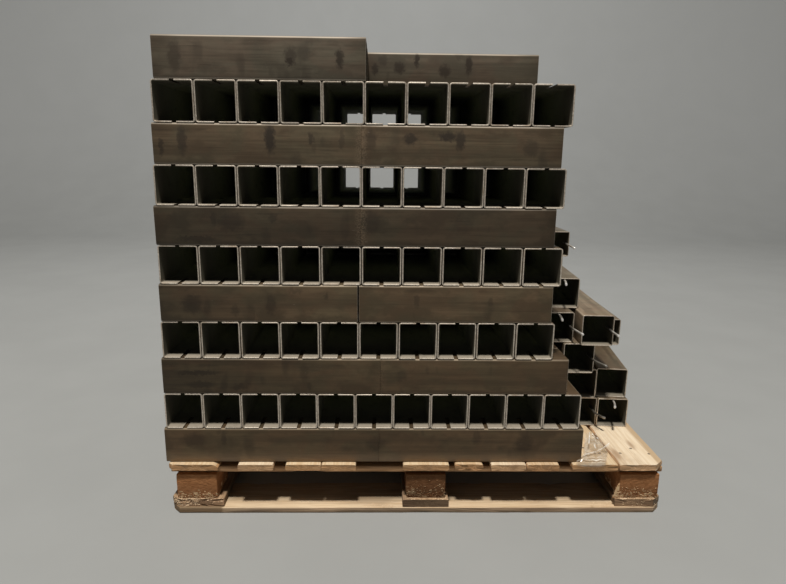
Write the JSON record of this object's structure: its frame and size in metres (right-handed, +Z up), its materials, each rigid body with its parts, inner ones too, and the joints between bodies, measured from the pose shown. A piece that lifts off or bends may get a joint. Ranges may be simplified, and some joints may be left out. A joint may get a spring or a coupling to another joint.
{
  "type": "bundle of square iron tubes",
  "caption": "Pallet load of short square steel tubes stacked crosswise in layers, with a loose pile of the same kind of tube beside the back and a scrap of film.",
  "frame": {"origin": "on the floor under the middle of the pallet", "axes": "+X to the right along the pallet's front, +Y from the front with the open tube ends to the back, +Z up"},
  "size_m": [1.1551, 1.1, 0.997],
  "materials": {
    "mill_steel": "dull brown-grey mill scale, unpainted, with bare sawn ends",
    "bright_steel": "plain bright round rod",
    "pallet_wood": "rough sawn softwood, used",
    "block_wood": "rough red-brown block, worn at the foot",
    "stretch_film": "clear thin stretch film, crumpled"
  },
  "bodies": {
    "root": {"tube_layer_01": "mill_steel", "tube_layer_02": "mill_steel", "tube_layer_03": "mill_steel", "tube_layer_04": "mill_steel", "tube_layer_05": "mill_steel", "tube_layer_06": "mill_steel", "tube_layer_07": "mill_steel", "tube_layer_08": "mill_steel", "tube_layer_09": "mill_steel", "tube_layer_10": "mill_steel", "tube_layer_11": "mill_steel", "pile_tube_low_inner": "mill_steel", "pile_tube_low_outer": "mill_steel", "pile_tube_second_inner": "mill_steel", "pile_tube_second_outer": "mill_steel", "pile_tube_third_inner": "mill_steel", "pile_tube_third_outer": "mill_steel", "pile_tube_fourth_inner": "mill_steel", "pile_tube_fourth_outer": "mill_steel", "pile_tube_fifth": "mill_steel", "pile_tube_top": "mill_steel", "pile_tube_rear_low_inner": "mill_steel", "pile_tube_rear_low_outer": "mill_steel", "pile_tube_rear_second_inner": "mill_steel", "pile_tube_rear_second_outer": "mill_steel", "pile_tube_rear_third_inner": "mill_steel", "pile_tube_rear_fourth_inner": "mill_steel", "pile_tube_rear_fourth_outer": "mill_steel", "pile_tube_rear_fifth": "mill_steel", "end_rods": "bright_steel", "pallet_floor_board_front": "pallet_wood", "pallet_stringer_front": "pallet_wood", "pallet_floor_board_middle": "pallet_wood", "pallet_stringer_middle": "pallet_wood", "pallet_floor_board_back": "pallet_wood", "pallet_stringer_back": "pallet_wood", "pallet_base_board_left": "pallet_wood", "pallet_base_board_middle": "pallet_wood", "pallet_base_board_right": "pallet_wood", "pallet_blocks": "block_wood", "pallet_deck_board_01": "pallet_wood", "pallet_deck_board_02": "pallet_wood", "pallet_deck_board_03": "pallet_wood", "pallet_deck_board_04": "pallet_wood", "pallet_deck_board_05": "pallet_wood", "pallet_deck_board_06": "pallet_wood", "pallet_deck_board_07": "pallet_wood", "pallet_deck_board_08": "pallet_wood", "pallet_deck_board_09": "pallet_wood", "pallet_deck_board_10": "pallet_wood", "film_scrap": "stretch_film"}
  },
  "joints": []
}
